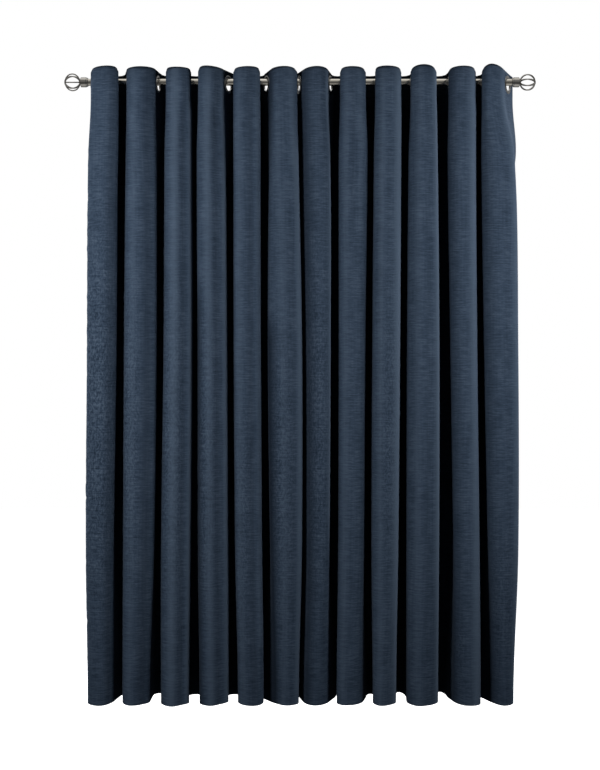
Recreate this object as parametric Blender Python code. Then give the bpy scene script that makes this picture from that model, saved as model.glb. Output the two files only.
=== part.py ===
"""Pair of eyelet curtains that hang together on one round pole with cage finials.

Metres, +Z up. The origin is on the pole's axis at mid-length. +X runs along the pole,
-Y is the front of the curtains and +Y is the side of the wall.
"""
import math
from collections import namedtuple

import bmesh
import bpy
import numpy as np
from mathutils import Matrix, Vector

MM = 0.001
SEAM_MERGE = 0.001 * MM

# Pole and finials
POLE_DIAMETER = 25 * MM
POLE_SIDES = 24
POLE_WALL = 1.2 * MM
POLE_HALF_LENGTH = 791 * MM
COLLAR_START = 771 * MM
COLLAR_LENGTH = 27 * MM
COLLAR_DIAMETER = 36 * MM
COLLAR_LIP = 2 * MM
CAGE_CENTRE = 827.6 * MM
CAGE_HALF_LENGTH = 27 * MM
CAGE_RADIUS = 29.6 * MM
CAGE_BARS = 8
BAR_DIAMETER = 4.2 * MM
BAR_SIDES = 6
BAR_STEPS = 7
BAR_START_ANGLE = math.radians(13)
HUB_DIAMETER = 18 * MM
HUB_THICKNESS = 5 * MM
HUB_SIDES = 14
LEFT_CAGE_TURN = 0.0
RIGHT_CAGE_TURN = math.radians(22.5)

# Eyelet rings
RING_BORE = 44 * MM
RING_FLANGE = 66 * MM
RING_NECK = 49.2 * MM
RING_HALF_THICKNESS = 3.0 * MM
RING_RIM_THICKNESS = 0.9 * MM
RING_SIDES = 12
PUNCH_DEPTH = 20 * MM
GAP = 0.3 * MM

# Cloth
CLOTH_THICKNESS = 2 * MM
CLOTH_WIDTH = 2290 * MM
RING_EDGE_BEND = 0.75
HEADING_TOP = 38.6 * MM
RING_CLEAR_TOP = 25.5 * MM
HEADING_FOOT = -45 * MM
HEM = -2246 * MM
FLANK_HALF_DEPTH = 34 * MM
FLANK_DEPTHS = (FLANK_HALF_DEPTH, -FLANK_HALF_DEPTH, -FLANK_HALF_DEPTH, FLANK_HALF_DEPTH)
SIDE_MARGIN = 16 * MM
CROWN_REACH = 76 * MM
VALLEY_REACH_LIMITS = (45 * MM, 140 * MM)
LOBE_STEPS = 6
FIT_STEPS = 24

# Heights that the fold table is given at, and the rows of the mesh
LEVELS = (-60 * MM, -282 * MM, -974 * MM, -1702 * MM, HEM)
ROWS = (HEADING_TOP, RING_CLEAR_TOP, HEADING_FOOT, -60 * MM, -160 * MM, -282 * MM, -600 * MM,
        -974 * MM, -1340 * MM, -1702 * MM, -2010 * MM, HEM)
HEADING_LEAN_FADES = 420 * MM
HEM_LEAN_FADES = 700 * MM

# The tables below have a row for each front fold, from left to right, and are in
# millimetres. The first six folds are the left curtain's and the last six the right's.

# Where a fold's front face starts and ends along the pole, at the five levels
Edges = namedtuple("Edges", "head_l head_r shoulder_l shoulder_r mid_l mid_r low_l low_r hem_l hem_r")
EDGES = (
    Edges(-755, -661, -764, -659, -768, -663, -772, -673, -765, -672),
    Edges(-626, -521, -628, -518, -634, -518, -637, -527, -637, -543),
    Edges(-481, -394, -487, -393, -491, -391, -500, -397, -500, -404),
    Edges(-364, -276, -370, -271, -367, -266, -366, -262, -360, -261),
    Edges(-239, -147, -239, -145, -238, -143, -233, -139, -223, -139),
    Edges(-109, -11, -111, -8, -115, 5, -107, 4, -102, -6),
    Edges(5, 101, 9, 109, 20, 109, 22, 105, 12, 103),
    Edges(146, 236, 141, 243, 141, 235, 139, 231, 136, 229),
    Edges(273, 364, 268, 363, 262, 359, 259, 352, 264, 345),
    Edges(400, 491, 393, 494, 387, 500, 385, 499, 385, 497),
    Edges(537, 632, 534, 632, 544, 637, 554, 645, 553, 646),
    Edges(658, 737, 655, 774, 665, 786, 679, 786, 690, 768),
)

# How far the back end of a fold's left and right flank stands outside its front face, or
# inside it where the number is negative: at the heading, in the middle and at the hem
Leans = namedtuple("Leans", "head_l head_r mid_l mid_r hem_l hem_r")
LEANS = (
    Leans(2, -42, -6, -11, -4, 8),
    Leans(2, 10, -11, -11, -24, 5),
    Leans(-22, -22, -11, -11, -12, -12),
    Leans(-14, 30, -11, -11, -12, -10),
    Leans(-20, -24, -11, -11, -10, -44),
    Leans(26, -14, -11, -22, 44, -8),
    Leans(15, 18, 20, -11, 14, 25),
    Leans(-16, -12, -11, -11, -30, 12),
    Leans(-16, -10, -11, -11, -12, 6),
    Leans(-12, -8, -11, -11, -4, 8),
    Leans(-12, -16, -11, -11, 12, -26),
    Leans(-15, 36, -11, -6, 28, 0),
)
END_DROOP = 9

# How much further than usual a fold's crown reaches to the front, and how far it sits to
# the left, as a share of its bend
Crowns = namedtuple("Crowns", "reach skew")
CROWNS = (
    Crowns(3, 0.15),
    Crowns(-4, 0.0),
    Crowns(-8, -0.2),
    Crowns(0, -0.35),
    Crowns(0, 0.15),
    Crowns(2, -0.1),
    Crowns(2, 0.0),
    Crowns(0, 0.0),
    Crowns(5, -0.1),
    Crowns(9, 0.0),
    Crowns(0, 0.0),
    Crowns(5, -0.25),
)

# Over the rings: how far a fold's front corners tuck in, how far its flanks swing out at
# the back, and how far its top edge rises
Tops = namedtuple("Tops", "tuck_l tuck_r flare_l flare_r rise")
TOPS = (
    Tops(6, 6, 0, 0, 1),
    Tops(0, 0, 13, 0, 0),
    Tops(4, 5, 0, 0, 0),
    Tops(4, 0, 0, 0, 0),
    Tops(6, 5, 0, 0, 0),
    Tops(2, 9, -8, 0, 0),
    Tops(8, 0, 0, -6, 0),
    Tops(5, 7, 0, 0, 0),
    Tops(2, 4, 0, 0, 1),
    Tops(4, 7, 6, 0, 7),
    Tops(4, 6, 11, 0, 1),
    Tops(5, 0, 6, 0, 4),
)

# How far a fold's hem rises at its left corner, in its middle, at its right corner and
# where the valley to its right begins
Hems = namedtuple("Hems", "left middle right valley")
HEMS = (
    Hems(0, 0, 3, 0),
    Hems(4, 0, 0, 7),
    Hems(0, -3, 0, 0),
    Hems(2, 0, 4, 0),
    Hems(2, -1, 9, 0),
    Hems(0, 0, 3, 0),
    Hems(0, 0, 0, 0),
    Hems(2, 0, 3, 0),
    Hems(3, -1, 3, 11),
    Hems(3, -1, 3, 13),
    Hems(3, 1, 2, 0),
    Hems(0, 1, 4, 0),
)
FOLDS_EACH = 6


def clear_scene():
    for item in list(bpy.data.objects):
        bpy.data.objects.remove(item, do_unlink=True)


def material(name, colour, roughness, metallic):
    made = bpy.data.materials.new(name)
    made.use_nodes = True
    shader = made.node_tree.nodes["Principled BSDF"]
    shader.inputs["Base Color"].default_value = (*colour, 1.0)
    shader.inputs["Roughness"].default_value = roughness
    shader.inputs["Metallic"].default_value = metallic
    return made


def add_object(name, mesh, finish, smooth_below=None):
    made = bpy.data.objects.new(name, mesh)
    bpy.context.scene.collection.objects.link(made)
    if not mesh.materials:
        mesh.materials.append(finish)
    if smooth_below is not None:
        mesh.shade_smooth()
        mesh.set_sharp_from_angle(angle=math.radians(smooth_below))
    return made


def mesh_from(name, shape):
    bmesh.ops.recalc_face_normals(shape, faces=shape.faces)
    mesh = bpy.data.meshes.new(name)
    shape.to_mesh(mesh)
    shape.free()
    return mesh


# Turned pieces

def turned(name, profile, sides, closed):
    """Spin a profile of (radius, place along X) points round the X axis."""
    shape = bmesh.new()
    first_angle = math.pi / sides
    start = Matrix.Rotation(first_angle, 3, "X")
    points = [shape.verts.new(start @ Vector((along, 0.0, radius))) for radius, along in profile]
    edges = [shape.edges.new(pair) for pair in zip(points, points[1:])]
    if closed:
        edges.append(shape.edges.new((points[-1], points[0])))
    bmesh.ops.spin(shape, geom=points + edges, cent=(0, 0, 0), axis=(1, 0, 0),
                   angle=math.tau, steps=sides, use_merge=True)
    bmesh.ops.remove_doubles(shape, verts=shape.verts, dist=SEAM_MERGE)
    return mesh_from(name, shape)


def build_pole(finish):
    outer = POLE_DIAMETER / 2
    inner = outer - POLE_WALL
    profile = ((outer, -POLE_HALF_LENGTH), (outer, POLE_HALF_LENGTH),
               (inner, POLE_HALF_LENGTH), (inner, -POLE_HALF_LENGTH))
    add_object("pole", turned("pole", profile, POLE_SIDES, closed=True), finish, smooth_below=40)


def build_collar(side, direction, finish):
    """A sleeve with a blind socket for the pole's end and rounded lips."""
    outer = COLLAR_DIAMETER / 2
    socket = POLE_DIAMETER / 2 + GAP
    near, far = COLLAR_START, COLLAR_START + COLLAR_LENGTH
    floor = POLE_HALF_LENGTH + GAP
    profile = ((0.0, floor), (socket, floor), (socket, near), (outer - COLLAR_LIP, near),
               (outer, near + COLLAR_LIP), (outer, far - COLLAR_LIP), (outer - COLLAR_LIP, far),
               (0.0, far))
    profile = [(radius, along * direction) for radius, along in profile]
    mesh = turned("collar", profile, POLE_SIDES, closed=False)
    add_object(f"finial_collar_{side}", mesh, finish, smooth_below=35)


def cage_bar(shape, turn):
    """One bowed bar of the cage: half an ellipse from hub to hub, turned about the pole."""
    spin = Matrix.Rotation(turn, 3, "X")
    sections = []
    for step in range(BAR_STEPS + 1):
        angle = BAR_START_ANGLE + (math.pi - 2 * BAR_START_ANGLE) * step / BAR_STEPS
        centre = Vector((CAGE_HALF_LENGTH * math.cos(angle), 0, CAGE_RADIUS * math.sin(angle)))
        outward = Vector((CAGE_RADIUS * math.cos(angle), 0, CAGE_HALF_LENGTH * math.sin(angle)))
        outward.normalize()
        section = []
        for side in range(BAR_SIDES):
            around = math.tau * side / BAR_SIDES
            offset = outward * math.cos(around) + Vector((0, math.sin(around), 0))
            section.append(shape.verts.new(spin @ (centre + offset * BAR_DIAMETER / 2)))
        sections.append(section)
    for low, high in zip(sections, sections[1:]):
        for side in range(BAR_SIDES):
            after = (side + 1) % BAR_SIDES
            shape.faces.new((low[side], low[after], high[after], high[side]))
    shape.faces.new(sections[0])
    shape.faces.new(list(reversed(sections[-1])))


def cage_hub(shape, place):
    half = HUB_THICKNESS / 2
    made = bmesh.ops.create_cone(shape, cap_ends=True, segments=HUB_SIDES, depth=2 * half,
                                 radius1=HUB_DIAMETER / 2, radius2=HUB_DIAMETER / 2)
    stand = Matrix.Translation((place, 0, 0)) @ Matrix.Rotation(math.pi / 2, 4, "Y")
    bmesh.ops.transform(shape, matrix=stand, verts=made["verts"])


def build_cage(side, direction, turn, finish):
    """Two hubs with eight bowed bars joined to them by a union."""
    bars = bmesh.new()
    for index in range(CAGE_BARS):
        cage_bar(bars, turn + math.tau * index / CAGE_BARS)
    hubs = bmesh.new()
    cage_hub(hubs, -CAGE_HALF_LENGTH)
    cage_hub(hubs, CAGE_HALF_LENGTH)
    cage = add_object(f"finial_cage_{side}", mesh_from("cage_hubs", hubs), finish)
    joined = add_object(f"cage_bars_{side}", mesh_from("cage_bars", bars), finish)
    for item in (cage, joined):
        item.location.x = CAGE_CENTRE * direction
    joined.hide_render = True
    joined.display_type = "WIRE"
    union = cage.modifiers.new("bars", "BOOLEAN")
    union.operation = "UNION"
    union.object = joined


# The cloth's section: a row of folds, read at one height

def smooth_between(heights, values, height):
    """A smooth curve through the table's values, flat at both ends."""
    values = np.asarray(values, dtype=float)
    last = len(values) - 1
    slopes = np.zeros_like(values)
    for index in range(1, last):
        slopes[index] = (values[index + 1] - values[index - 1]) / (heights[index + 1] - heights[index - 1])
    if height >= heights[0]:
        return values[0]
    for index in range(last):
        if height >= heights[index + 1]:
            break
    span = heights[index + 1] - heights[index]
    part = min(1.0, (height - heights[index]) / span)
    rise = part * part * (3 - 2 * part)
    leave = part * (1 - part) ** 2 * span
    arrive = part * part * (part - 1) * span
    return (values[index] * (1 - rise) + values[index + 1] * rise
            + slopes[index] * leave + slopes[index + 1] * arrive)


def fade(distance, length):
    """1 at no distance, falling smoothly to 0 at the given length."""
    part = min(1.0, max(0.0, distance / length))
    return 1 - part * part * (3 - 2 * part)


def flank_ends(fold, height):
    """The front and back ends, along X, of a fold's left and right flanks."""
    near_head = fade(LEVELS[0] - height, HEADING_LEAN_FADES)
    near_hem = fade(height - HEM, HEM_LEAN_FADES)
    shares = np.array((near_head, 1 - near_head - near_hem, near_hem))
    left = smooth_between(LEVELS, EDGES[fold][0::2], height)
    right = smooth_between(LEVELS, EDGES[fold][1::2], height)
    back_left = left - float(shares @ LEANS[fold][0::2])
    back_right = right + float(shares @ LEANS[fold][1::2])
    if height > RING_CLEAR_TOP:
        top = TOPS[fold]
        left += top.tuck_l
        right -= top.tuck_r
        back_left -= top.flare_l
        back_right += top.flare_r
    return back_left * MM, left * MM, right * MM, back_right * MM


def toward(start, end):
    return (end - start) / np.linalg.norm(end - start)


def bend(start, leave, end, arrive, reach, skew=0.0):
    """A rounded bend between two flank ends: (share of the way, place) at its inner points.

    The middle of such a curve lies three quarters of the way to its handles, hence the
    length of the two handles together.
    """
    depth = (reach - FLANK_HALF_DEPTH) * 8 / 3
    handle = depth / (abs(leave[1]) + abs(arrive[1]))
    first = start + leave * handle * (1 - skew)
    second = end - arrive * handle * (1 + skew)
    for step in range(1, LOBE_STEPS):
        t = step / LOBE_STEPS
        yield t, (start * (1 - t) ** 3 + first * 3 * t * (1 - t) ** 2
                  + second * 3 * t * t * (1 - t) + end * t ** 3)


def across(left, middle, right, share):
    """A lift that passes from left through middle to right over a crown."""
    swell = math.sin(math.pi * share) ** 2
    return ((1 - share) * left + share * right) * (1 - swell) + middle * swell


def section(folds, height, valley_reach):
    """Points (x, y, top lift, hem lift) of one curtain's section, from left to right."""
    ends = [flank_ends(fold, height) for fold in folds]
    straight_back = np.array((0.0, RING_EDGE_BEND))
    points = []

    def put(place, top=0.0, hem=0.0):
        points.append((place[0], place[1], top * MM, hem * MM))

    for index, fold in enumerate(folds):
        back_left, front_left, front_right, back_right = (
            np.array((x, y)) for x, y in zip(ends[index], FLANK_DEPTHS))
        hem = HEMS[fold]
        if index == 0:
            put(back_left + toward(front_left, back_left) * SIDE_MARGIN)
        put(back_left)
        put(front_left, 0.0, hem.left)
        crown = bend(front_left, toward(back_left, front_left), front_right,
                     toward(front_right, back_right),
                     CROWN_REACH + CROWNS[fold].reach * MM, CROWNS[fold].skew)
        for share, place in crown:
            put(place, across(0.0, TOPS[fold].rise, 0.0, share),
                across(hem.left, hem.middle, hem.right, share))
        put(front_right, 0.0, hem.right)
        if index + 1 == len(folds):
            droop = -END_DROOP if fold + 1 == len(EDGES) else 0.0
            put(back_right, droop)
            put(back_right + toward(front_right, back_right) * SIDE_MARGIN, droop)
            continue
        put(back_right, 0.0, hem.valley)
        next_back = np.array((ends[index + 1][0], FLANK_HALF_DEPTH))
        next_front = np.array((ends[index + 1][1], -FLANK_HALF_DEPTH))
        leave = toward(0, toward(front_right, back_right) * (1 - RING_EDGE_BEND) + straight_back)
        arrive = toward(0, toward(next_back, next_front) * (1 - RING_EDGE_BEND) - straight_back)
        for share, place in bend(back_right, leave, next_back, arrive, valley_reach):
            put(place, 0.0, hem.valley * (1 - share))
    return np.array(points)


def section_length(points):
    return float(np.linalg.norm(np.diff(points[:, :2], axis=0), axis=1).sum())


def fitted_section(folds, height):
    """The section whose valleys are deep enough to take up the cloth's whole width."""
    shallow, deep = VALLEY_REACH_LIMITS
    for _ in range(FIT_STEPS):
        middle = (shallow + deep) / 2
        if section_length(section(folds, height, middle)) < CLOTH_WIDTH:
            shallow = middle
        else:
            deep = middle
    return section(folds, height, deep)


def build_curtain(side, folds, finish):
    """Loft the sections into a sheet, give it its thickness and punch the eyelet holes."""
    shape = bmesh.new()
    rows = []
    for height in ROWS:
        top_share = float(height == HEADING_TOP)
        hem_share = float(height == HEM)
        rows.append([shape.verts.new((x, y, height + top * top_share + hem * hem_share))
                     for x, y, top, hem in fitted_section(folds, height)])
    for upper, lower in zip(rows, rows[1:]):
        for index in range(len(upper) - 1):
            shape.faces.new((upper[index], upper[index + 1], lower[index + 1], lower[index]))
    curtain = add_object(f"curtain_{side}", mesh_from(f"curtain_{side}", shape), finish, 60)
    thicken = curtain.modifiers.new("thickness", "SOLIDIFY")
    thicken.thickness = CLOTH_THICKNESS
    thicken.offset = 0.0
    thicken.use_even_offset = True
    return curtain


def eyelet_places(folds):
    """For each eyelet, its place on the pole and the angle its ring is turned to."""
    places = []
    for fold in folds:
        back_l, front_l, front_r, back_r = flank_ends(fold, HEADING_FOOT)
        for back, front in ((back_l, front_l), (back_r, front_r)):
            places.append(((back + front) / 2, math.atan2(front - back, 2 * FLANK_HALF_DEPTH)))
    return places


def ring_height():
    """The rings hang with the top of the bore a small gap over the pole."""
    return POLE_DIAMETER / 2 + GAP - RING_BORE / 2


def ring_mesh():
    """A ring with a groove that grips the cloth round its hole."""
    bore = RING_BORE / 2 / math.cos(math.pi / RING_SIDES)
    rim, neck = RING_FLANGE / 2, RING_NECK / 2
    groove = CLOTH_THICKNESS / 2 + GAP
    lip = groove + RING_RIM_THICKNESS
    profile = ((bore, -RING_HALF_THICKNESS), (rim, -lip), (rim, -groove), (neck, -groove),
               (neck, groove), (rim, groove), (rim, lip), (bore, RING_HALF_THICKNESS))
    return turned("ring", profile, RING_SIDES, closed=True)


def build_eyelets(side, folds, curtain, mesh, finish):
    """Hang the rings and cut a hole for each one's neck."""
    hole_radius = RING_NECK / 2 + GAP / math.cos(math.pi / RING_SIDES)
    holes = bmesh.new()
    for index, (place, turn) in enumerate(eyelet_places(folds), start=1):
        stand = Matrix.Translation((place, 0, ring_height())) @ Matrix.Rotation(turn, 4, "Z")
        ring = add_object(f"eyelet_{side}_{index:02d}", mesh, finish)
        ring.matrix_world = stand
        made = bmesh.ops.create_cone(holes, cap_ends=True, segments=RING_SIDES, depth=PUNCH_DEPTH,
                                     radius1=hole_radius, radius2=hole_radius)
        lay = Matrix.Rotation(math.pi / RING_SIDES, 4, "X") @ Matrix.Rotation(math.pi / 2, 4, "Y")
        bmesh.ops.transform(holes, matrix=stand @ lay, verts=made["verts"])
    punch = add_object(f"punch_{side}", mesh_from(f"punch_{side}", holes), finish)
    punch.hide_render = True
    punch.display_type = "WIRE"
    cut = curtain.modifiers.new("eyelet_holes", "BOOLEAN")
    cut.operation = "DIFFERENCE"
    cut.object = punch


def main():
    clear_scene()
    navy = material("navy_chenille", (0.032, 0.052, 0.085), 0.85, 0.0)
    nickel = material("satin_nickel", (0.60, 0.58, 0.55), 0.32, 1.0)
    silver = material("silver_eyelet", (0.70, 0.70, 0.70), 0.28, 1.0)
    build_pole(nickel)
    for side, direction, turn in (("left", -1, LEFT_CAGE_TURN), ("right", 1, RIGHT_CAGE_TURN)):
        build_collar(side, direction, nickel)
        build_cage(side, direction, turn, nickel)
    mesh = ring_mesh()
    for side, first in (("left", 0), ("right", FOLDS_EACH)):
        folds = range(first, first + FOLDS_EACH)
        curtain = build_curtain(side, folds, navy)
        build_eyelets(side, folds, curtain, mesh, silver)


main()
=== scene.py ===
# %% [markdown]
# # A pair of eyelet curtains on a pole
# Two long chenille curtains hang from one slim pole. Each has twelve metal eyelets, and the
# pole runs through all of them, so the cloth is pushed into six deep front folds a side.
# The frame that is loaded here holds every piece as a plain solid at its real size. This
# lesson dresses it: finer metalwork, cloth with its creases, materials, light and camera.

# %% Load the frame and keep its box
import math
from collections import namedtuple

import bmesh
import bpy
import numpy as np
from mathutils import Matrix, Vector


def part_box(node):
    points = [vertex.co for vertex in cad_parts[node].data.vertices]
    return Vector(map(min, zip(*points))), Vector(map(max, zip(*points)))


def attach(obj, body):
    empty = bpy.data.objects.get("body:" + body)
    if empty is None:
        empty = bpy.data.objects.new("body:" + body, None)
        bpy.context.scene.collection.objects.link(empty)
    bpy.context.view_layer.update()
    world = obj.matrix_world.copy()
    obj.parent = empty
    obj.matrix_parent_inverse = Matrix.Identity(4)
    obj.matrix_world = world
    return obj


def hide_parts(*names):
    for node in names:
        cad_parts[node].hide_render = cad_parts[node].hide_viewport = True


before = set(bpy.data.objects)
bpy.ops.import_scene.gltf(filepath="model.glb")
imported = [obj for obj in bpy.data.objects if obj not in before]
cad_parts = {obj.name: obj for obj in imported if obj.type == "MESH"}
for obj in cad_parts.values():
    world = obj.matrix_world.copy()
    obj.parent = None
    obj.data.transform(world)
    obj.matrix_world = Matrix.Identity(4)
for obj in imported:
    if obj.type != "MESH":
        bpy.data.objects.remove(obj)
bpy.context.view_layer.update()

MM = 0.001

# %% [markdown]
# Every step starts with nothing selected. The loaded solids are all selected, and an operator
# acts on whatever is selected, so a small helper deselects everything first. Others select
# faces by place, apply a modifier, and hand a finished piece to its body.

# %% Helpers for modelling by hand


def start_fresh():
    if bpy.context.object and bpy.context.object.mode != "OBJECT":
        bpy.ops.object.mode_set(mode="OBJECT")
    bpy.ops.object.select_all(action="DESELECT")


def take(piece):
    """Make a piece the only selected and active one."""
    start_fresh()
    piece.select_set(True)
    bpy.context.view_layer.objects.active = piece


def new_piece(name):
    piece = bpy.context.object
    piece.name = name
    piece.data.name = name
    return piece


def select_faces(piece, keep):
    """In edit mode, select the faces whose centre and normal pass a test."""
    bpy.ops.mesh.select_mode(type="FACE")
    bpy.ops.mesh.select_all(action="DESELECT")
    shape = bmesh.from_edit_mesh(piece.data)
    for face in shape.faces:
        face.select_set(bool(keep(face.calc_center_median(), face.normal)))
    bmesh.update_edit_mesh(piece.data)


def apply_modifier(piece, kind, **settings):
    take(piece)
    made = piece.modifiers.new(kind.lower(), kind)
    for key, value in settings.items():
        setattr(made, key, value)
    bpy.ops.object.modifier_apply(modifier=made.name)


def settle(piece, matrix=None, smooth_degrees=40):
    """Bake a piece's place into its mesh, so that its object sits at the origin."""
    take(piece)
    piece.data.transform((matrix or Matrix.Identity(4)) @ piece.matrix_world)
    piece.matrix_world = Matrix.Identity(4)
    bpy.ops.object.shade_smooth_by_angle(angle=math.radians(smooth_degrees))


def copy_of(piece, name):
    made = piece.copy()
    made.data = piece.data.copy()
    made.name = name
    made.data.name = name
    bpy.context.scene.collection.objects.link(made)
    return made


def finish_piece(piece, finish, slot, *nodes):
    """Give a piece its material and body, and let it stand for its solids."""
    piece.data.materials.clear()
    piece.data.materials.append(finish)
    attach(piece, "root")
    if nodes:
        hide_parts(*nodes)


# %% [markdown]
# The camera comes first, because everything is seen through it. It stands about 4.7 m
# in front of the curtains and one metre below the pole, level, with a normal lens. A small
# upward shift frames the hem without tilting the view.

# %% Camera
CAMERA_PLACE = (0.0, -4.726, -1.003)
CAMERA_LENS = 60.73
CAMERA_SENSOR = 36.0
PICTURE_HEIGHT = 770
PICTURE_SHIFT = -27

camera_data = bpy.data.cameras.new("camera")
camera_data.sensor_width = CAMERA_SENSOR
camera_data.lens = CAMERA_LENS
camera_data.shift_y = PICTURE_SHIFT / PICTURE_HEIGHT
camera = bpy.data.objects.new("camera", camera_data)
camera.location = CAMERA_PLACE
camera.rotation_euler = (math.radians(90), 0, 0)
bpy.context.scene.collection.objects.link(camera)
bpy.context.scene.camera = camera
print("camera at", CAMERA_PLACE)

# %% [markdown]
# A studio for dark cloth lights it from both sides. A light from straight ahead would fill
# the deep valleys between the folds. From the sides it reaches the faces but not the
# valleys, which then go nearly black. The softboxes hang at the cloth's upper half, so the
# light falls off towards the hem. Two more light the back, which no light from the front
# reaches.

# %% Softboxes and floor
HEM = -2246 * MM
FLOOR_DROP = 0.36
FLOOR_HALF = 9.0

Softbox = namedtuple("Softbox", "name place aim width height power")
SOFTBOXES = (
    Softbox("key_left", (-1.75, -1.75, -0.42), (0.0, 0.0, -0.45), 0.8, 1.2, 60),
    Softbox("key_right", (2.0, -1.2, -0.42), (0.0, 0.0, -0.45), 0.8, 1.2, 41),
    Softbox("back_left", (-2.5, 1.9, -0.5), (0.0, 0.0, -0.8), 0.8, 1.2, 70),
    Softbox("back_right", (2.5, 1.9, -0.5), (0.0, 0.0, -0.8), 0.8, 1.2, 70),
)

for box in SOFTBOXES:
    lamp = bpy.data.lights.new(box.name, "AREA")
    lamp.shape = "RECTANGLE"
    lamp.size, lamp.size_y = box.width, box.height
    lamp.energy = box.power
    item = bpy.data.objects.new(box.name, lamp)
    item.location = box.place
    item.visible_glossy = False
    direction = Vector(box.aim) - item.location
    item.rotation_euler = direction.to_track_quat("-Z", "Y").to_euler()
    bpy.context.scene.collection.objects.link(item)

start_fresh()
bpy.ops.mesh.primitive_plane_add(size=2 * FLOOR_HALF, location=(0, 0, HEM - FLOOR_DROP))
floor = new_piece("studio_floor")
floor.visible_diffuse = False
floor.visible_glossy = False
print("lights:", [box.name for box in SOFTBOXES])

# %% [markdown]
# The room is one small node tree: white to the camera and nearly dark to the cloth. Polished
# metal shows its room more than itself, so it gets a sweep from light to dark to reflect. A
# helper adds one node and sets or links its inputs.

# %% The room around them
# What metal reflects: how bright the room is from straight down (0) to straight up (1)
METAL_SKY = ((0.0, 0.60), (0.07, 0.50), (0.18, 0.08), (0.30, 0.05), (0.42, 0.14), (0.60, 0.24),
             (0.76, 0.24), (0.86, 0.50), (0.97, 1.1))
METAL_SKY_TINT = (1.0, 0.99, 0.96)
CLOTH_SKY = (0.9, 0.95, 1.0, 1)
CLOTH_SKY_STRENGTH = 0.03


def add_node(tree, kind, inputs=None, **settings):
    node = tree.nodes.new(kind)
    for key, value in settings.items():
        setattr(node, key, value)
    for key, value in (inputs or {}).items():
        if isinstance(value, bpy.types.NodeSocket):
            tree.links.new(value, node.inputs[key])
        else:
            node.inputs[key].default_value = value
    return node


def make_world():
    """White to the eye, dim to cloth, and a soft light-to-dark sweep for metal to reflect."""
    world = bpy.data.worlds.new("studio")
    world.use_nodes = True
    bpy.context.scene.world = world
    tree = world.node_tree
    tree.nodes.clear()
    rays = add_node(tree, "ShaderNodeLightPath").outputs
    place = add_node(tree, "ShaderNodeTexCoord").outputs["Generated"]
    up = add_node(tree, "ShaderNodeSeparateXYZ", {0: place}).outputs["Z"]
    height = add_node(tree, "ShaderNodeMapRange", {"Value": up, "From Min": -1.0}).outputs[0]
    sweep = add_node(tree, "ShaderNodeValToRGB", {"Fac": height})
    ramp = sweep.color_ramp
    while len(ramp.elements) < len(METAL_SKY):
        ramp.elements.new(0.5)
    for element, (at, value) in zip(ramp.elements, METAL_SKY):
        element.position = at
        element.color = [value * tint for tint in METAL_SKY_TINT] + [1]
    metal = add_node(tree, "ShaderNodeBackground", {"Color": sweep.outputs["Color"]})
    cloth = add_node(tree, "ShaderNodeBackground", {"Color": CLOTH_SKY, "Strength": CLOTH_SKY_STRENGTH})
    white = add_node(tree, "ShaderNodeBackground", {"Color": (1, 1, 1, 1)})
    seen = add_node(tree, "ShaderNodeMixShader",
                    {0: rays["Is Glossy Ray"], 1: cloth.outputs[0], 2: metal.outputs[0]})
    seen = add_node(tree, "ShaderNodeMixShader",
                    {0: rays["Is Camera Ray"], 1: seen.outputs[0], 2: white.outputs[0]})
    add_node(tree, "ShaderNodeOutputWorld", {"Surface": seen.outputs[0]})


make_world()
bpy.context.scene.view_settings.view_transform = "Standard"
print("steps in the metal's sky:", len(METAL_SKY))

# %% [markdown]
# Materials are node trees, made with the same helper as the room. More of them keep the
# trees readable: sums, stretched patterns, mixed colours, and a named group with its sockets.
# A value that is the same all over a surface is set on the shader itself, and a group hands
# out only what changes.

# %% Helpers for materials


def math_node(tree, operation, first, second=0.0):
    return add_node(tree, "ShaderNodeMath", {0: first, 1: second}, operation=operation).outputs[0]


def plus(tree, first, second):
    return math_node(tree, "ADD", first, second)


def times(tree, first, second):
    return math_node(tree, "MULTIPLY", first, second)


def stretch(tree, vector, factors):
    node = add_node(tree, "ShaderNodeVectorMath", {0: vector, 1: factors}, operation="MULTIPLY")
    return node.outputs[0]


def shifted(tree, vector, axis, distance):
    step = add_node(tree, "ShaderNodeCombineXYZ", {axis: distance})
    node = add_node(tree, "ShaderNodeVectorMath", {0: vector, 1: step.outputs[0]}, operation="ADD")
    return node.outputs[0]


def noise(tree, vector, detail=2.0, roughness=0.5, scale=1.0):
    node = add_node(tree, "ShaderNodeTexNoise",
                    {"Vector": vector, "Scale": scale, "Detail": detail, "Roughness": roughness})
    return node.outputs["Fac"]


def span(tree, value, low, high, to_low=0.0, to_high=1.0):
    node = add_node(tree, "ShaderNodeMapRange",
                    {"Value": value, "From Min": low, "From Max": high,
                     "To Min": to_low, "To Max": to_high})
    return node.outputs[0]


def mix_colour(tree, share, first, second):
    node = add_node(tree, "ShaderNodeMix", data_type="RGBA")
    for socket, value in zip((node.inputs[0], node.inputs[6], node.inputs[7]), (share, first, second)):
        if isinstance(value, bpy.types.NodeSocket):
            tree.links.new(value, socket)
        else:
            socket.default_value = value
    return node.outputs[2]


def new_group(name, takes, gives):
    """An empty shader group: takes and gives are (socket name, socket type) pairs."""
    group = bpy.data.node_groups.new(name, "ShaderNodeTree")
    for direction, sockets in (("INPUT", takes), ("OUTPUT", gives)):
        for socket, kind in sockets:
            group.interface.new_socket(socket, in_out=direction, socket_type="NodeSocket" + kind)
    return group, group.nodes.new("NodeGroupInput"), group.nodes.new("NodeGroupOutput")


def feed_shader(tree, shader, effect, strength, distance):
    """Colour, roughness and relief from a group to its material's shader."""
    tree.links.new(effect.outputs["Color"], shader.inputs["Base Color"])
    tree.links.new(effect.outputs["Roughness"], shader.inputs["Roughness"])
    bump = add_node(tree, "ShaderNodeBump",
                    {"Strength": strength, "Distance": distance, "Height": effect.outputs["Height"]})
    tree.links.new(bump.outputs[0], shader.inputs["Normal"])


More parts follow.
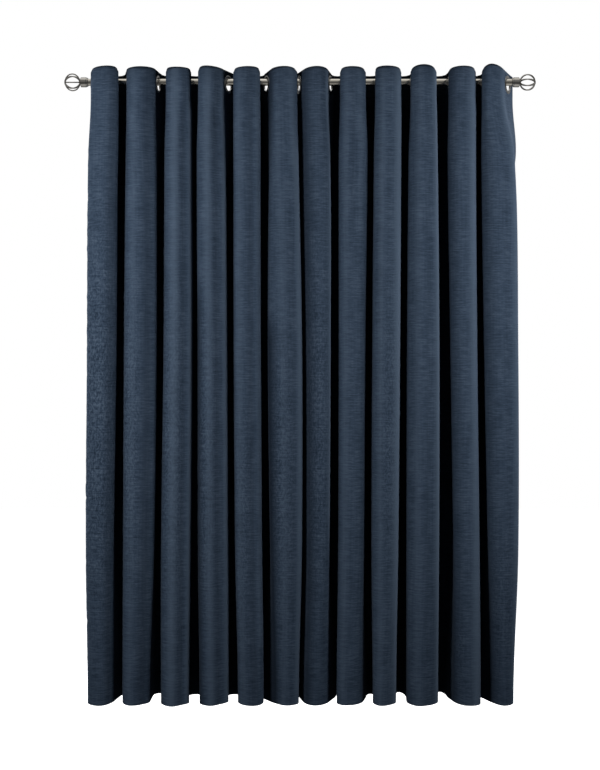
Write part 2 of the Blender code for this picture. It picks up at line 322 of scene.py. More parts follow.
def new_material(name, **principled):
    made = bpy.data.materials.new(name)
    made.use_nodes = True
    shader = made.node_tree.nodes["Principled BSDF"]
    for key, value in principled.items():
        shader.inputs[key.replace("_", " ")].default_value = value
    return made, made.node_tree, shader


# %% [markdown]
# Chenille yarn is a furry caterpillar of short pile, so the cloth is dull, a little downy,
# and ribbed across with slubs: thick and thin stretches of weft a few centimetres long and
# a few millimetres high. The pattern follows the cloth, not the room, so it reads the
# sheet's own map, laid out in metres: across the cloth, then down it.

# %% Chenille's colours and sizes
YARN_DEEP = (0.0130, 0.0213, 0.0352, 1)
YARN_BASE = (0.0325, 0.0493, 0.0770, 1)
YARN_PALE = (0.0690, 0.0945, 0.1335, 1)
# The painted highlight, then the painted shade, that the sheet's painted light and shade mix into the yarn
PAINTED_HIGHLIGHT = (0.0770, 0.1075, 0.1530, 1)
PAINTED_SHADE = (0.005, 0.008, 0.014, 1)
# Painted shade at the heading's pressed edge and over the heading, also used for its darker stitches
EDGE_DARK = (0.006, 0.009, 0.014, 1)

# How many times a metre each pattern changes, across the cloth and down it
SWAY_PER_METRE = (9, 14, 1)
SLUB_PER_METRE = (24, 205, 1)
FINE_SLUB_PER_METRE = (85, 560, 1)
LONG_LINE_PER_METRE = (2.6, 120, 1)
WARP_BAND_PER_METRE = (150, 7, 1)
CLOUD_PER_METRE = (16, 9, 1)
STROKE_PER_METRE = (165, 74, 1)
RIB_RADIANS_PER_METRE = math.tau / (1.9 * MM)

# How far each pattern moves the tone, where -0.75 is the deepest yarn and 0.9 the palest
STREAK_TONE = 0.45
WARP_TONE = 0.10
CLOUD_TONE = 0.14
LINE_TONE = 0.22
STROKE_TONE = 0.46

SLUB_SHARE = 0.72
WEAVE_DEPTH = 1.6 * MM
WEFT_SWAY = 12 * MM
STROKE_SLANT = 45 * MM
# How far the deepest painted shade goes towards its dark colour
PAINTED_SHADE_SHARE = 0.86

# Heights above the pole of the painted shade at the rolled pressed edge, of the painted shade over the
# heading, and of the stitches
PRESSED_EDGE = (32.2 * MM, 34.6 * MM)
HEADING_SHADE = (-30 * MM, 30 * MM)
STITCH_LINE = 30.4 * MM
STITCH_HALF = 1.6 * MM
print("a slub is about", round(1 / SLUB_PER_METRE[0] / MM), "by", round(1 / SLUB_PER_METRE[1] / MM), "mm")

# %% [markdown]
# The group adds these patterns up to one tone for each spot and mixes the yarn's colours by
# it. The sheet also carries painted light and shade across the folds' faces, which makes the
# colour paler or darker. It also says where the cloth is crushed, and the colour and the
# relief follow that. The material hands the group what the sheet says, and keeps the shader
# itself.

# %% Chenille group and material


def weave_streaks(group, wavy):
    """Slubs with finer slubs between them: the thick and thin of the weft."""
    slub = noise(group, stretch(group, wavy, SLUB_PER_METRE), detail=2.5, roughness=0.62)
    fine = noise(group, stretch(group, wavy, FINE_SLUB_PER_METRE), detail=1.0)
    return plus(group, times(group, slub, SLUB_SHARE), times(group, fine, 1 - SLUB_SHARE))


def slow_tones(group, cloth):
    """Bands, clouds and long dark lines in the yarn, wider than one slub."""
    line = noise(group, stretch(group, cloth, LONG_LINE_PER_METRE), detail=1.0)
    warp = noise(group, stretch(group, cloth, WARP_BAND_PER_METRE))
    cloud = noise(group, stretch(group, cloth, CLOUD_PER_METRE))
    tone = plus(group, span(group, warp, 0.3, 0.7, -WARP_TONE, WARP_TONE),
                span(group, cloud, 0.3, 0.7, -CLOUD_TONE, CLOUD_TONE))
    return math_node(group, "SUBTRACT", tone, span(group, line, 0.68, 0.76, 0.0, LINE_TONE))


def heading_shade_and_stitches(group, height):
    """Painted shade on the heading: dark at its rolled pressed edge and a little all over, and darker on
    its stitches.
    """
    beside = math_node(group, "ABSOLUTE", math_node(group, "SUBTRACT", height, STITCH_LINE))
    edge_shade_and_stitch = math_node(group, "MAXIMUM", span(group, height, *PRESSED_EDGE, 0.0, 0.85),
                     span(group, beside, STITCH_HALF, 0.0, 0.0, 0.4))
    return math_node(group, "MAXIMUM", edge_shade_and_stitch, span(group, height, *HEADING_SHADE, 0.0, 0.22))


def chenille_group():
    group, taken, given = new_group(
        "chenille", (("Cloth", "Vector"), ("Crush", "Float"), ("Nap", "Float")),
        (("Color", "Color"), ("Height", "Float"), ("Roughness", "Float")))
    cloth, crush, nap = taken.outputs["Cloth"], taken.outputs["Crush"], taken.outputs["Nap"]
    sway = noise(group, stretch(group, cloth, SWAY_PER_METRE), detail=1.0)
    sway = math_node(group, "SUBTRACT", sway, 0.5)
    wavy = shifted(group, cloth, "Y", times(group, sway, WEFT_SWAY))
    crooked = shifted(group, wavy, "X", times(group, sway, STROKE_SLANT))
    up = add_node(group, "ShaderNodeSeparateXYZ", {0: wavy}).outputs["Y"]
    streak = weave_streaks(group, wavy)
    stroke = noise(group, stretch(group, crooked, STROKE_PER_METRE), detail=2.5, roughness=0.6)
    stroke = times(group, span(group, stroke, 0.34, 0.66, -STROKE_TONE, STROKE_TONE), crush)

    tone = plus(group, span(group, streak, 0.33, 0.67, -STREAK_TONE, STREAK_TONE), slow_tones(group, cloth))
    tone = plus(group, tone, stroke)
    yarn = mix_colour(group, span(group, tone, 0.0, -0.75), YARN_BASE, YARN_DEEP)
    yarn = mix_colour(group, span(group, tone, 0.0, 0.9), yarn, YARN_PALE)
    # Painted shade and painted highlight from the sheet's painted light and shade
    yarn = mix_colour(group, span(group, nap, 0.0, -1.0, 0.0, PAINTED_SHADE_SHARE), yarn, PAINTED_SHADE)
    yarn = mix_colour(group, span(group, nap, 0.0, 1.0), yarn, PAINTED_HIGHLIGHT)
    # Painted shade at the heading's pressed edge and over the heading, with darker stitches
    yarn = mix_colour(group, heading_shade_and_stitches(group, up), yarn, EDGE_DARK)
    group.links.new(yarn, given.inputs["Color"])

    rib = math_node(group, "SINE", times(group, up, RIB_RADIANS_PER_METRE))
    height = times(group, streak, span(group, crush, 0.0, 1.0, 1.0, 1.7))
    height = plus(group, height, times(group, rib, 0.05))
    height = plus(group, height, times(group, stroke, 0.7))
    group.links.new(height, given.inputs["Height"])
    group.links.new(span(group, streak, 0.3, 0.7, 0.95, 0.82), given.inputs["Roughness"])
    return group


def chenille_material():
    made, tree, shader = new_material(
        "navy_chenille", Specular_IOR_Level=0.0, Sheen_Weight=0.14, Sheen_Roughness=0.42,
        Sheen_Tint=(0.62, 0.74, 0.92, 1))
    cloth = add_node(tree, "ShaderNodeUVMap", uv_map="cloth").outputs[0]
    crush = add_node(tree, "ShaderNodeAttribute", attribute_name="crush").outputs["Fac"]
    # The painted light and shade that the sheet carries
    nap = add_node(tree, "ShaderNodeAttribute", attribute_name="nap").outputs["Fac"]
    weave = add_node(tree, "ShaderNodeGroup", {"Cloth": cloth, "Crush": crush, "Nap": nap},
                     node_tree=chenille_group())
    feed_shader(tree, shader, weave, 0.8, WEAVE_DEPTH)
    return made


navy = chenille_material()
print("cloth material:", navy.name)

# %% [markdown]
# The metal is plated and softly brushed. One group gives every metal piece its fine grain
# and faint handling marks, and each material places it with its own colours and scale. The
# pole is warm satin nickel, the finials are polished darker, and the eyelets are silver.

# %% Satin metal group and materials
GRAIN_DEPTH = 0.04 * MM
BRUSHED_PER_METRE = (60, 900, 900)
EVEN_PER_METRE = (500, 500, 500)
MARKS_TO_GRAIN = (0.04, 0.12, 0.12)


def satin_group():
    group, taken, given = new_group(
        "satin_metal",
        (("Place", "Vector"), ("Light", "Color"), ("Dark", "Color"), ("Smooth", "Float"),
         ("Rough", "Float")),
        (("Color", "Color"), ("Roughness", "Float"), ("Height", "Float")))
    place = taken.outputs["Place"]
    grain = noise(group, place, detail=3.0, roughness=0.6)
    marks = noise(group, stretch(group, place, MARKS_TO_GRAIN), detail=2.0)
    plating = mix_colour(group, span(group, marks, 0.35, 0.65), taken.outputs["Light"],
                         taken.outputs["Dark"])
    group.links.new(plating, given.inputs["Color"])
    blend = span(group, grain, 0.3, 0.7, taken.outputs["Smooth"], taken.outputs["Rough"])
    group.links.new(blend, given.inputs["Roughness"])
    group.links.new(grain, given.inputs["Height"])
    return group


satin = satin_group()


def metal_material(name, light, dark, smooth, rough, grain):
    made, tree, shader = new_material(name, Metallic=1.0)
    where = add_node(tree, "ShaderNodeTexCoord").outputs["Object"]
    plating = add_node(tree, "ShaderNodeGroup",
                       {"Place": stretch(tree, where, grain), "Light": light, "Dark": dark,
                        "Smooth": smooth, "Rough": rough}, node_tree=satin)
    feed_shader(tree, shader, plating, 0.3, GRAIN_DEPTH)
    return made


nickel = metal_material("satin_nickel", (0.66, 0.63, 0.58, 1), (0.56, 0.53, 0.47, 1),
                        0.16, 0.26, BRUSHED_PER_METRE)
polished = metal_material("polished_nickel", (0.50, 0.485, 0.46, 1), (0.38, 0.365, 0.34, 1),
                          0.12, 0.20, BRUSHED_PER_METRE)
silver = metal_material("silver_eyelet", (0.64, 0.64, 0.64, 1), (0.52, 0.52, 0.52, 1),
                        0.20, 0.32, EVEN_PER_METRE)


def floor_material():
    made, tree, shader = new_material("pale_floor", Roughness=0.9)
    where = add_node(tree, "ShaderNodeTexCoord").outputs["Object"]
    mottle = noise(tree, where, detail=3.0, scale=1.5)
    pale = mix_colour(tree, span(tree, mottle, 0.3, 0.7), (0.93, 0.93, 0.93, 1), (0.97, 0.97, 0.97, 1))
    tree.links.new(pale, shader.inputs["Base Color"])
    shader.inputs["Emission Color"].default_value = (1, 1, 1, 1)
    shader.inputs["Emission Strength"].default_value = 1.0
    return made


floor.data.materials.append(floor_material())
print("metals:", nickel.name, polished.name, silver.name)

# %% [markdown]
# Turned pieces, such as a collar or an eyelet, are made here the way a lathe cuts them. A
# circle is drawn at the first radius, and each further step of the profile is an extruded
# edge loop, scaled to its radius and moved along the axis. The last loop is bridged to the
# first for a ring, or filled for a solid end.

# %% Turning by extrusion


def turn_profile(name, profile, sides, ring):
    """Turn (radius, height) steps, given in millimetres, about the Z axis."""
    steps = [(radius * MM, height * MM) for radius, height in profile]
    start_fresh()
    radius, height = steps[0]
    bpy.ops.mesh.primitive_circle_add(vertices=sides, radius=radius, location=(0, 0, height))
    piece = new_piece(name)
    bpy.ops.object.transform_apply(location=True)
    bpy.ops.object.mode_set(mode="EDIT")
    bpy.ops.mesh.select_all(action="SELECT")
    for next_radius, next_height in steps[1:]:
        scale = next_radius / radius
        bpy.ops.mesh.extrude_edges_move()
        bpy.ops.transform.resize(value=(scale, scale, 1), center_override=(0, 0, height))
        bpy.ops.transform.translate(value=(0, 0, next_height - height))
        radius, height = next_radius, next_height
    bpy.ops.mesh.select_all(action="DESELECT")
    bpy.ops.mesh.select_mode(type="EDGE")
    bpy.ops.mesh.select_non_manifold()
    if ring:
        bpy.ops.mesh.bridge_edge_loops()
    else:
        bpy.ops.mesh.edge_face_add()
    bpy.ops.mesh.select_all(action="SELECT")
    bpy.ops.mesh.normals_make_consistent(inside=False)
    bpy.ops.object.mode_set(mode="OBJECT")
    return piece


# %% [markdown]
# The pole is a thin tube. A cylinder is added lying along X, its two end faces are inset by
# the wall's thickness, and the inner faces are bridged to open it from end to end. A small
# bevel softens the sawn rims.

# %% Pole
POLE_RADIUS = 12.5 * MM
POLE_WALL = 1.2 * MM
POLE_SIDES = 64
RIM_SOFTENING = 0.25 * MM

pole_low, pole_high = (Vector(corner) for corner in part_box("pole"))
start_fresh()
bpy.ops.mesh.primitive_cylinder_add(vertices=POLE_SIDES, radius=POLE_RADIUS,
                                    depth=pole_high.x - pole_low.x, rotation=(0, math.radians(90), 0))
pole = new_piece("pole_tube")
bpy.ops.object.transform_apply(rotation=True)
bpy.ops.object.mode_set(mode="EDIT")
select_faces(pole, lambda centre, normal: abs(normal.x) > 0.9)
bpy.ops.mesh.inset(thickness=POLE_WALL)
bpy.ops.mesh.bridge_edge_loops()
bpy.ops.object.mode_set(mode="OBJECT")
apply_modifier(pole, "BEVEL", width=RIM_SOFTENING, segments=2, limit_method="ANGLE",
               angle_limit=math.radians(60))
settle(pole)
finish_piece(pole, nickel, "pole_metal", "pole")
print("pole:", round(pole.dimensions.x, 3), "m long,", len(pole.data.polygons), "faces")

# %% [markdown]
# Each end of the pole wears a collar: a sleeve with a blind socket, a narrow bead at the
# mouth and a soft shoulder next to the cage. One collar is turned, laid along X, and copied
# for the other end by a half turn, so the two are the same part.

# %% Finial collars
COLLAR_MOUTH = 771 * MM
COLLAR_SIDES = 64

# From the socket's blind end out to its mouth, then over the bead and the sleeve to the cage
collar_profile = (
    (0.5, 20.3), (12.8, 20.3), (12.8, 0.4), (13.2, 0), (15.2, 0), (16.0, 0.5), (16.3, 1.6),
    (16.3, 3.2), (15.9, 3.9), (15.9, 4.6), (17.3, 5.2), (18, 6.4), (18, 23.6), (17.6, 25.4),
    (16.4, 26.6), (15.0, 27), (0.5, 27))
collar_right = turn_profile("collar_right", collar_profile, COLLAR_SIDES, ring=False)
lay_right = Matrix.Translation((COLLAR_MOUTH, 0, 0)) @ Matrix.Rotation(math.radians(90), 4, "Y")
collar_left = copy_of(collar_right, "collar_left")
settle(collar_right, lay_right, smooth_degrees=30)
settle(collar_left, Matrix.Rotation(math.radians(180), 4, "Z") @ lay_right, smooth_degrees=30)
for collar in (collar_right, collar_left):
    finish_piece(collar, polished, "pole_metal", f"finial_{collar.name}")
print("collars:", len(collar_right.data.polygons), "faces each")

# %% [markdown]
# The finial is an open ball of eight bowed wires between two small buttons. A thin torus is
# squashed to the ball's outline and cut in half for one wire, and seven turned copies are
# joined to it with the buttons. Both balls lean a little round the pole, so that from the
# camera a front wire covers a back one, and the right one is turned half a step further.

# %% Finial cages
CAGE_CENTRE = 827.6 * MM
CAGE_RADIUS = 29.6 * MM
CAGE_HALF_LENGTH = 27 * MM
CAGE_WIRES = 8
WIRE_RADIUS = 2.3 * MM
WIRE_SIDES = 12
BUTTON_RADIUS = 9 * MM
BUTTON_SIDES = 32
CAGE_LEAN = math.radians(12)


def cage_wire(turn):
    """Half of a squashed torus, from button to button, turned about the pole's axis."""
    start_fresh()
    bpy.ops.mesh.primitive_torus_add(major_segments=72, minor_segments=WIRE_SIDES,
                                     major_radius=CAGE_RADIUS, minor_radius=WIRE_RADIUS,
                                     rotation=(math.radians(90), 0, 0))
    wire = new_piece("cage_wire")
    bpy.ops.object.transform_apply(rotation=True)
    bpy.ops.object.mode_set(mode="EDIT")
    bpy.ops.mesh.select_all(action="SELECT")
    bpy.ops.transform.resize(value=(CAGE_HALF_LENGTH / CAGE_RADIUS, 1, 1), center_override=(0, 0, 0))
    bpy.ops.mesh.bisect(plane_co=(0, 0, BUTTON_RADIUS * 0.5), plane_no=(0, 0, 1), clear_inner=True,
                        use_fill=True)
    bpy.ops.object.mode_set(mode="OBJECT")
    wire.data.transform(Matrix.Rotation(turn, 4, "X"))
    return wire


def cage_button(direction):
    """A small domed disc that the wires end in."""
    dome = ((0.4, 2.5), (5.2, 2.3), (7.8, 1.6), (8.8, 0.5), (BUTTON_RADIUS / MM, -0.6),
            (8.6, -1.8), (7.6, -2.5), (0.4, -2.5))
    button = turn_profile("cage_button", dome, BUTTON_SIDES, ring=False)
    place = Matrix.Translation((CAGE_HALF_LENGTH * direction, 0, 0))
    button.data.transform(place @ Matrix.Rotation(math.radians(90 * direction), 4, "Y"))
    return button


def build_cage(name, turn, centre):
    parts = [cage_wire(turn + math.tau * index / CAGE_WIRES) for index in range(CAGE_WIRES)]
    parts += [cage_button(direction) for direction in (-1, 1)]
    start_fresh()
    for part in parts:
        part.select_set(True)
    bpy.context.view_layer.objects.active = parts[0]
    bpy.ops.object.join()
    cage = new_piece(name)
    settle(cage, Matrix.Translation((centre, 0, 0)), smooth_degrees=50)
    return cage


cage_left = build_cage("cage_left", CAGE_LEAN, -CAGE_CENTRE)
cage_right = build_cage("cage_right", CAGE_LEAN + math.pi / CAGE_WIRES, CAGE_CENTRE)
for cage in (cage_left, cage_right):
    finish_piece(cage, polished, "pole_metal", f"finial_{cage.name}")
print("cages:", len(cage_left.data.polygons), "faces each")

# %% [markdown]
# The folds are drawn as one wavy section, read at every height from short tables: a row for
# each front fold, in millimetres. These are nearly the tables that the solids were made
# from, so cloth, eyelets and solids agree. Between two levels of the tables the cloth follows
# a smooth curve.

# %% Fold tables
FOLDS_EACH = 6
CLOTH_WIDTH = 2290 * MM
CLOTH_THICKNESS = 2 * MM
HEADING_TOP = 39.6 * MM
RING_CLEAR_TOP = 25.5 * MM
HEADING_FOOT = -45 * MM
FLANK_HALF_DEPTH = 34 * MM
SIDE_MARGIN = 16 * MM
CROWN_REACH = 76 * MM
VALLEY_REACH_LIMITS = (45 * MM, 140 * MM)
RING_EDGE_BEND = 0.75
END_DROOP = 9
LEVELS = (-60 * MM, -282 * MM, -974 * MM, -1702 * MM, HEM)
HEADING_LEAN_FADES = 420 * MM
HEM_LEAN_FADES = 700 * MM

# Where a fold's front face starts and ends along the pole, at the five levels
Edges = namedtuple("Edges", "head_l head_r shoulder_l shoulder_r mid_l mid_r low_l low_r hem_l hem_r")
EDGES = [Edges(*row) for row in (
    (-755, -661, -764, -659, -768, -663, -772, -673, -765, -672),
    (-626, -521, -628, -518, -634, -518, -637, -527, -637, -543),
    (-481, -394, -487, -393, -491, -391, -500, -397, -500, -404),
    (-364, -276, -370, -271, -367, -266, -366, -262, -360, -261),
    (-239, -147, -239, -145, -238, -143, -233, -139, -223, -139),
    (-109, -11, -111, -8, -115, 5, -107, 4, -102, -6),
    (5, 101, 9, 109, 20, 109, 22, 105, 12, 103),
    (146, 236, 141, 243, 141, 235, 139, 231, 136, 229),
    (273, 364, 268, 363, 262, 359, 259, 352, 264, 345),
    (400, 491, 393, 494, 387, 500, 385, 499, 385, 497),
    (537, 632, 534, 632, 544, 637, 554, 645, 553, 646),
    (658, 737, 655, 774, 665, 786, 679, 786, 690, 768),
)]

# How far the back end of a fold's flank stands outside its front face
Leans = namedtuple("Leans", "head_l head_r mid_l mid_r hem_l hem_r")
LEANS = [Leans(*row) for row in (
    (2, -42, -6, -11, -4, 8),
    (2, 10, -11, -11, -24, 5),
    (-22, -22, -11, -11, -12, -12),
    (-14, 30, -11, -11, -12, -10),
    (-20, -24, -11, -11, -10, -44),
    (26, -14, -11, -22, 44, -8),
    (15, 18, 20, -11, 14, 25),
    (-16, -12, -11, -11, -30, 12),
    (-16, -10, -11, -11, -12, 6),
    (-12, -8, -11, -11, -4, 8),
    (-12, -16, -11, -11, 12, -26),
    (-15, 36, -11, -6, 28, 0),
)]

# How much further than usual a crown reaches to the front, and how far it sits to the left
Crowns = namedtuple("Crowns", "reach skew")
CROWNS = [Crowns(*row) for row in (
    (3, 0.15), (-4, 0.0), (-8, -0.2), (0, -0.35), (0, 0.15),
    (2, -0.1), (2, 0.0), (0, 0.0), (5, -0.1), (9, 0.0),
    (0, 0.0), (5, -0.25),
)]

# Over the rings: how far the corners tuck in, the flanks swing out and the top edge rises
Tops = namedtuple("Tops", "tuck_l tuck_r flare_l flare_r rise")
TOPS = [Tops(*row) for row in (
    (6, 6, 0, 0, 4), (0, 0, 13, 0, 3), (4, 5, 0, 0, 2.3), (4, 0, 0, 0, 4.5),
    (6, 5, 0, 0, 2.6), (2, 9, -8, 0, 2.6), (8, 0, 0, -6, 2.6), (5, 7, 0, 0, 2.6),
    (2, 4, 0, 0, 3.6), (4, 7, 6, 0, 7.5), (4, 6, 11, 0, 4.3), (5, 0, 6, 0, 10),
)]

# How far the hem rises at the left corner, the middle, the right corner and the valley
Hems = namedtuple("Hems", "left middle right valley")
HEMS = [Hems(*row) for row in (
    (0, -2, 3, 0), (4, -3, 0, 7), (0, -6.5, 0, 0), (2, -1.5, 4, 0), (2, -4, 9, 0),
    (0, -1, 3, 0), (0, -1, 0, 0), (2, -0.5, 3, 0), (3, -1, 3, 11), (3, -1, 3, 13),
    (3, -2.5, 2, 0), (0, -1, 4, 0),
)]
print("folds:", len(EDGES))

# %% [markdown]
# Between two eyelets the cloth runs straight back to front, and that stretch is a flank. The
# tables give its two ends at five levels. A smooth curve between the levels keeps a fold
# from kinking on its way down.

# %% The flanks at one height


def smooth_between(heights, values, height):
    """A smooth curve through the table's values, flat at both ends."""
    values = np.asarray(values, dtype=float)
    if height >= heights[0]:
        return values[0]
    last = len(values) - 1
    slopes = np.zeros_like(values)
    for index in range(1, last):
        run = heights[index + 1] - heights[index - 1]
        slopes[index] = (values[index + 1] - values[index - 1]) / run
    index = next((at for at in range(last) if height >= heights[at + 1]), last - 1)
    run = heights[index + 1] - heights[index]
    part = min(1.0, (height - heights[index]) / run)
    rise = part * part * (3 - 2 * part)
    leave = part * (1 - part) ** 2 * run
    arrive = part * part * (part - 1) * run
    return (values[index] * (1 - rise) + values[index + 1] * rise
            + slopes[index] * leave + slopes[index + 1] * arrive)


def fade(distance, length):
    """1 at no distance, falling smoothly to 0 at the given length."""
    part = np.clip(distance / length, 0.0, 1.0)
    return 1 - part * part * (3 - 2 * part)


def flank_ends(fold, height):
    """Places along X: left flank's back, left flank's front, right front, right back."""
    near_head = fade(LEVELS[0] - height, HEADING_LEAN_FADES)
    near_hem = fade(height - HEM, HEM_LEAN_FADES)
    shares = np.array((near_head, 1 - near_head - near_hem, near_hem))
    left = smooth_between(LEVELS, EDGES[fold][0::2], height)
    right = smooth_between(LEVELS, EDGES[fold][1::2], height)
    back_left = left - float(shares @ LEANS[fold][0::2])
    back_right = right + float(shares @ LEANS[fold][1::2])
    over = float(np.clip((height - RING_CLEAR_TOP) / (HEADING_TOP - RING_CLEAR_TOP), 0, 1))
    top = TOPS[fold]
    left += top.tuck_l * over
    right -= top.tuck_r * over
    back_left -= top.flare_l * over
    back_right += top.flare_r * over
    return back_left * MM, left * MM, right * MM, back_right * MM


print("the first fold's flanks at the pole:", [round(end / MM) for end in flank_ends(0, 0)], "mm")

# %% [markdown]
# Rounded bends join the flanks: crowns at the front, valleys at the back. A real curtain has
# the same width of cloth at every height, so the valleys are made just deep enough to use
# it all up.

# %% The whole section at one height
CROWN_STEPS = 16
FLANK_STEPS = 4
VALLEY_STEPS = 6
FIT_STEPS = 22


def toward(start, end):
    return (end - start) / np.linalg.norm(end - start)


def straight(start, end, steps):
    share = np.arange(steps)[:, None] / steps
    return start + (end - start) * share


def bend(start, leave, end, arrive, reach, steps, skew=0.0):
    """A rounded bend from one flank end to the next, its last point left to what follows."""
    depth = (reach - FLANK_HALF_DEPTH) * 8 / 3
    handle = depth / (abs(leave[1]) + abs(arrive[1]))
    first = start + leave * handle * (1 - skew)
    second = end - arrive * handle * (1 + skew)
    t = np.arange(steps)[:, None] / steps
    return (start * (1 - t) ** 3 + first * 3 * t * (1 - t) ** 2
            + second * 3 * t * t * (1 - t) + end * t ** 3)


def flank_points(folds, height):
    """For each fold, the four ends of its two flanks as points seen from above."""
    depths = (FLANK_HALF_DEPTH, -FLANK_HALF_DEPTH, -FLANK_HALF_DEPTH, FLANK_HALF_DEPTH)
    return [[np.array((x, y)) for x, y in zip(flank_ends(fold, height), depths)] for fold in folds]


def valley(ends, index, reach):
    """The bend behind two neighbouring folds."""
    _, _, front_right, back_right = ends[index]
    next_back, next_front = ends[index + 1][:2]
    straight_back = np.array((0.0, RING_EDGE_BEND))
    leave = toward(0, toward(front_right, back_right) * (1 - RING_EDGE_BEND) + straight_back)
    arrive = toward(0, toward(next_back, next_front) * (1 - RING_EDGE_BEND) - straight_back)
    return bend(back_right, leave, next_back, arrive, reach, VALLEY_STEPS)


def section(folds, height, reach):
    ends = flank_points(folds, height)
    runs = [straight(ends[0][0] + toward(ends[0][1], ends[0][0]) * SIDE_MARGIN, ends[0][0], 1)]
    for index, fold in enumerate(folds):
        back_left, front_left, front_right, back_right = ends[index]
        runs.append(straight(back_left, front_left, FLANK_STEPS))
        runs.append(bend(front_left, toward(back_left, front_left), front_right,
                         toward(front_right, back_right), CROWN_REACH + CROWNS[fold].reach * MM,
                         CROWN_STEPS, CROWNS[fold].skew))
        runs.append(straight(front_right, back_right, FLANK_STEPS))
        if index + 1 < len(folds):
            runs.append(valley(ends, index, reach))
    end = ends[-1][3] + toward(ends[-1][2], ends[-1][3]) * SIDE_MARGIN
    runs.append(np.array((ends[-1][3], end)))
    return np.vstack(runs)


def width_of(points):
    return float(np.linalg.norm(np.diff(points, axis=0), axis=1).sum())


def fitted_section(folds, height):
    """The section whose valleys are deep enough to take up the cloth's whole width."""
    shallow, deep = VALLEY_REACH_LIMITS
    for _ in range(FIT_STEPS):
        middle = (shallow + deep) / 2
        if width_of(section(folds, height, middle)) < CLOTH_WIDTH:
            shallow = middle
        else:
            deep = middle
    return section(folds, height, deep)


hem_depth = fitted_section(range(FOLDS_EACH), HEM)[:, 1].max()
print("the left hem reaches", round(hem_depth / MM), "mm behind the pole's axis")

# %% [markdown]
# The top edge rises over the crowns, and the hem dips and lifts from fold to fold. Every
# column of the cloth's grid gets a row of marks that says which fold it belongs to, where
# on the crown it is, and how far its top and hem move.

# %% Marks for each column


def column_marks(folds):
    """For each column of the grid: its fold, its share across the crown, and its lifts."""
    marks = [(folds[0], -1.0, 0.0, 0.0)]
    for index, fold in enumerate(folds):
        hem = HEMS[fold]
        marks += [(fold, -1.0, 0.0, hem.left * step / FLANK_STEPS) for step in range(FLANK_STEPS)]
        for step in range(CROWN_STEPS):
            share = step / CROWN_STEPS
            arch = math.sin(math.pi * share)
            corner = (1 - share) * hem.left + share * hem.right
            dip = corner * (1 - arch ** 2) + hem.middle * arch ** 2
            marks.append((fold, share, TOPS[fold].rise * arch, dip))
        last = index + 1 == len(folds)
        droop = -END_DROOP if fold + 1 == len(EDGES) else 0.0
        back = 0.0 if last else hem.valley
        for step in range(FLANK_STEPS):
            share = step / FLANK_STEPS
            dip = hem.right + (back - hem.right) * share
            marks.append((fold, 1.0 if step == 0 else -1.0, droop * share, dip))
        if last:
            marks += [(fold, -1.0, droop, 0.0), (fold, -1.0, droop, 0.0)]
        else:
            marks += [(fold, -1.0, 0.0, back * (1 - step / VALLEY_STEPS)) for step in range(VALLEY_STEPS)]
    return np.array(marks)


print("columns in a curtain:", len(column_marks(range(FOLDS_EACH))))

# %% [markdown]
# Hung cloth is never as even as its section. Long soft troughs and ridges run down the
# faces, and where the cloth was folded for packing it keeps short puckers. The long ones
# are listed in a table. The puckers are scattered inside listed zones, as short slanted
# ridges, from a seeded random generator so that every run gives the same cloth.

